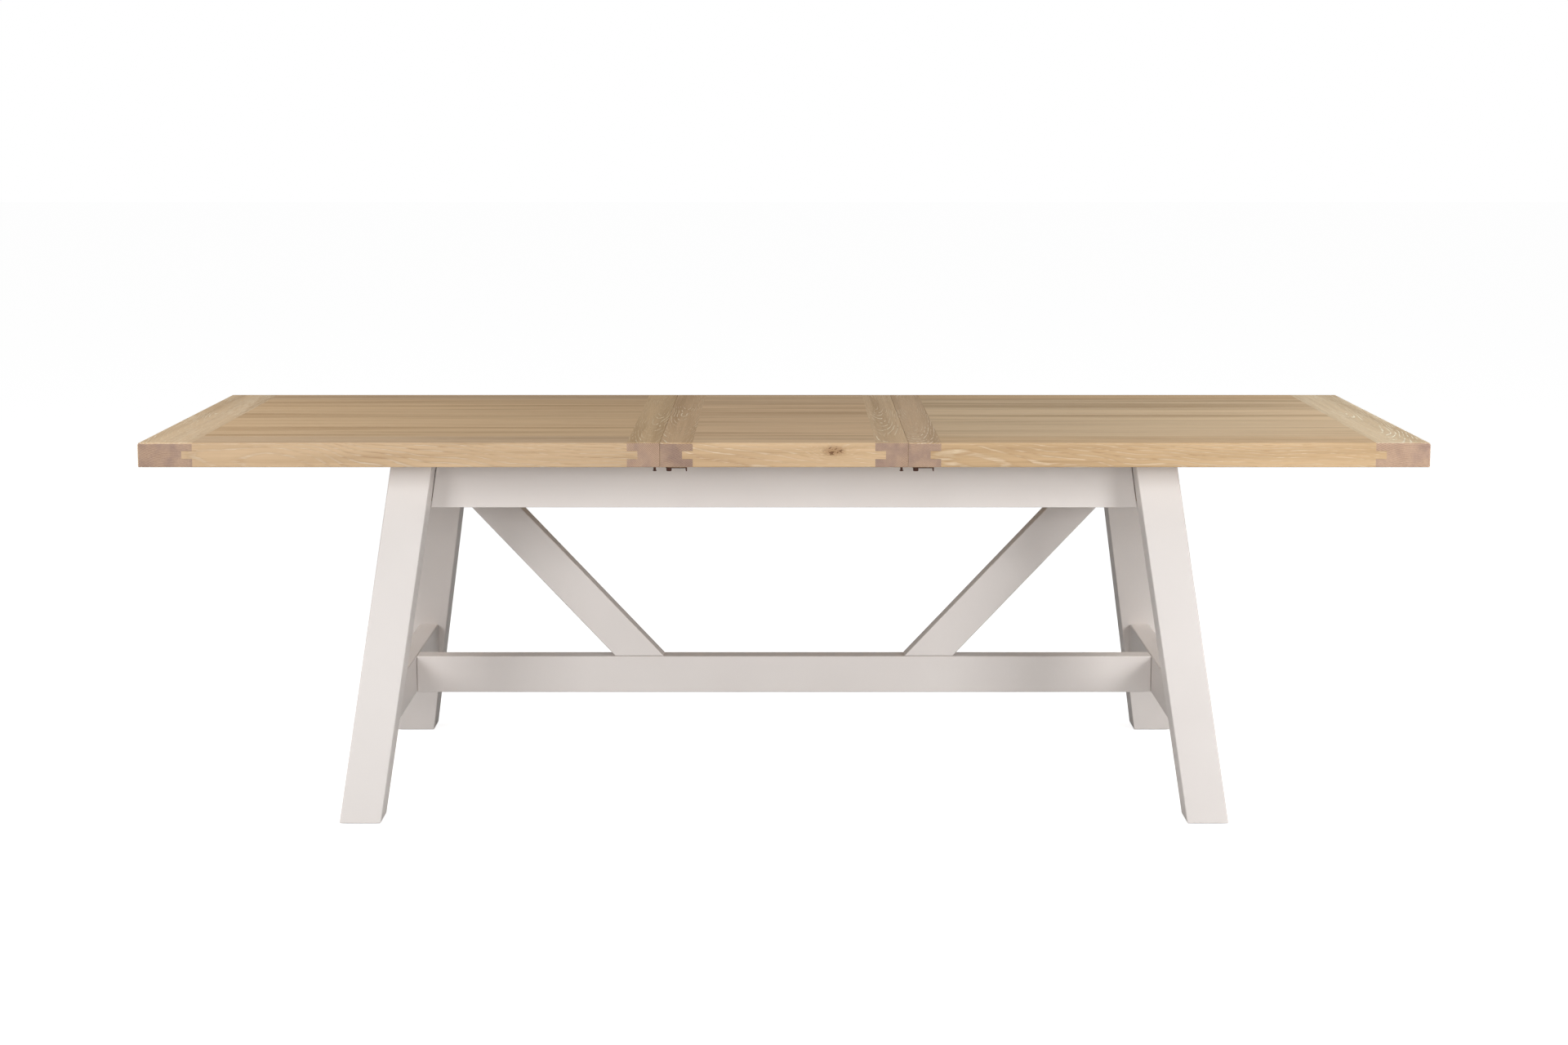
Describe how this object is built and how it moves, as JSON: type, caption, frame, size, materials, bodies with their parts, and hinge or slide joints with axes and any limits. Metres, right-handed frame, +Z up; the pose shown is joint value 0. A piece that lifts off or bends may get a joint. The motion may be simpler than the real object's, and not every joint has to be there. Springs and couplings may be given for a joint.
{
  "type": "extending dining table",
  "caption": "Splayed-leg trestle dining table with a braced stretcher, sliding framed half-tops and a drop-in leaf locked by swivel hooks under the seams.",
  "frame": {"origin": "on the floor under the centre of the extended table", "axes": "+X along the table, +Y to the back, +Z up; the front is at -Y"},
  "size_m": [2.6, 0.95, 0.79],
  "materials": {
    "limed_oak": "limed oak, matt lacquer",
    "painted_wood": "satin warm grey paint",
    "beech": "planed, unfinished",
    "nylon": "matt nylon",
    "dark_steel": "dark bronzed steel"
  },
  "bodies": {
    "base": {"apron_back": "painted_wood", "apron_front": "painted_wood", "brace_left": "painted_wood", "brace_right": "painted_wood", "centre_stretcher": "painted_wood", "corner_block_back_left": "beech", "corner_block_back_right": "beech", "corner_block_front_left": "beech", "corner_block_front_right": "beech", "cross_bearer_left": "beech", "cross_bearer_right": "beech", "end_stretcher_left": "painted_wood", "end_stretcher_right": "painted_wood", "glide_back_left": "nylon", "glide_back_right": "nylon", "glide_front_left": "nylon", "glide_front_right": "nylon", "glide_strip_back": "nylon", "glide_strip_front": "nylon", "guide_rail_back": "beech", "guide_rail_front": "beech", "head_rail_left": "painted_wood", "head_rail_right": "painted_wood", "leg_back_left": "painted_wood", "leg_back_right": "painted_wood", "leg_front_left": "painted_wood", "leg_front_right": "painted_wood"},
    "top_left": {"catch_keeper_back_left": "dark_steel", "catch_keeper_front_left": "dark_steel", "runner_left_back": "beech", "runner_left_front": "beech", "top_left_back_rail": "limed_oak", "top_left_end_board": "limed_oak", "top_left_front_rail": "limed_oak", "top_left_panel": "limed_oak", "top_left_seam_board": "limed_oak"},
    "top_right": {"catch_plate_back_right": "dark_steel", "catch_plate_front_right": "dark_steel", "runner_right_back": "beech", "runner_right_front": "beech", "top_right_back_rail": "limed_oak", "top_right_end_board": "limed_oak", "top_right_front_rail": "limed_oak", "top_right_panel": "limed_oak", "top_right_seam_board": "limed_oak"},
    "leaf": {"catch_keeper_back_right": "dark_steel", "catch_keeper_front_right": "dark_steel", "catch_plate_back_left": "dark_steel", "catch_plate_front_left": "dark_steel", "leaf_back_rail": "limed_oak", "leaf_front_rail": "limed_oak", "leaf_left_board": "limed_oak", "leaf_panel": "limed_oak", "leaf_right_board": "limed_oak"},
    "hook_back_left": {"catch_hook_back_left": "dark_steel"},
    "hook_back_right": {"catch_hook_back_right": "dark_steel"},
    "hook_front_left": {"catch_hook_front_left": "dark_steel"},
    "hook_front_right": {"catch_hook_front_right": "dark_steel"}
  },
  "joints": [
    {"name": "top_left_slide", "type": "slide", "parent": "base", "child": "top_left", "axis": [-1, 0, 0], "range_m": [0, 0.04]},
    {"name": "top_right_slide", "type": "slide", "parent": "base", "child": "top_right", "axis": [1, 0, 0], "range_m": [0, 0.04]},
    {"name": "leaf_lift", "type": "slide", "parent": "base", "child": "leaf", "axis": [0, 0, 1], "range_m": [0, 0.3]},
    {"name": "hook_front_left_turn", "type": "hinge", "parent": "leaf", "child": "hook_front_left", "pos_m": [-0.233, -0.435, 0.7375], "axis": [0, 0, -1], "range_deg": [-180, 0]},
    {"name": "hook_front_right_turn", "type": "hinge", "parent": "top_right", "child": "hook_front_right", "pos_m": [0.267, -0.435, 0.7375], "axis": [0, 0, -1], "range_deg": [-180, 0]},
    {"name": "hook_back_left_turn", "type": "hinge", "parent": "leaf", "child": "hook_back_left", "pos_m": [-0.233, 0.435, 0.7375], "axis": [0, 0, 1], "range_deg": [-180, 0]},
    {"name": "hook_back_right_turn", "type": "hinge", "parent": "top_right", "child": "hook_back_right", "pos_m": [0.267, 0.435, 0.7375], "axis": [0, 0, 1], "range_deg": [-180, 0]}
  ]
}
